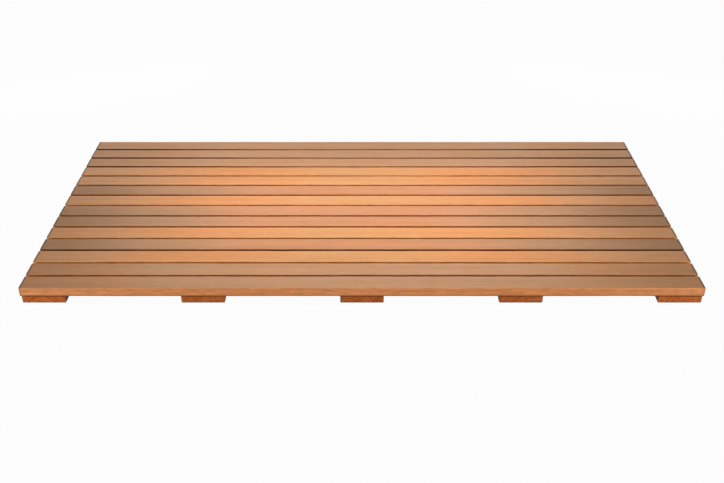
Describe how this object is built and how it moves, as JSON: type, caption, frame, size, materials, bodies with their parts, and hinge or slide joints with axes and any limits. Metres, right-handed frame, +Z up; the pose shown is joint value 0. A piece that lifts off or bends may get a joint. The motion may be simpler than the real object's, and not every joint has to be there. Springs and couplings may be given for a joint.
{
  "type": "wooden deck tile",
  "caption": "Rectangular slatted wooden floor tile: narrow eased slats with open drain gaps, stapled from below onto flat cross battens that lift it off the ground.",
  "frame": {"origin": "centre of the tile's footprint, on the plane that the battens stand on", "axes": "+X along the slats, -Y towards the front edge, +Z up out of the deck face"},
  "size_m": [1.22, 0.6096, 0.033],
  "materials": {
    "honey_slat": "planed softwood, orange honey tone, unvarnished",
    "tan_slat": "planed softwood, brown tan tone, unvarnished",
    "russet_batten": "sawn softwood, dark russet, unvarnished",
    "staple_wire": "bright drawn wire"
  },
  "bodies": {
    "root": {"slat_01": "tan_slat", "slat_02": "tan_slat", "slat_03": "tan_slat", "slat_04": "honey_slat", "slat_05": "honey_slat", "slat_06": "tan_slat", "slat_07": "honey_slat", "slat_08": "tan_slat", "slat_09": "tan_slat", "slat_10": "honey_slat", "slat_11": "tan_slat", "slat_12": "honey_slat", "slat_13": "tan_slat", "slat_14": "tan_slat", "batten_1": "russet_batten", "batten_2": "russet_batten", "batten_3": "russet_batten", "batten_4": "russet_batten", "batten_5": "russet_batten", "staples_1": "staple_wire", "staples_2": "staple_wire", "staples_3": "staple_wire", "staples_4": "staple_wire", "staples_5": "staple_wire"}
  },
  "joints": []
}
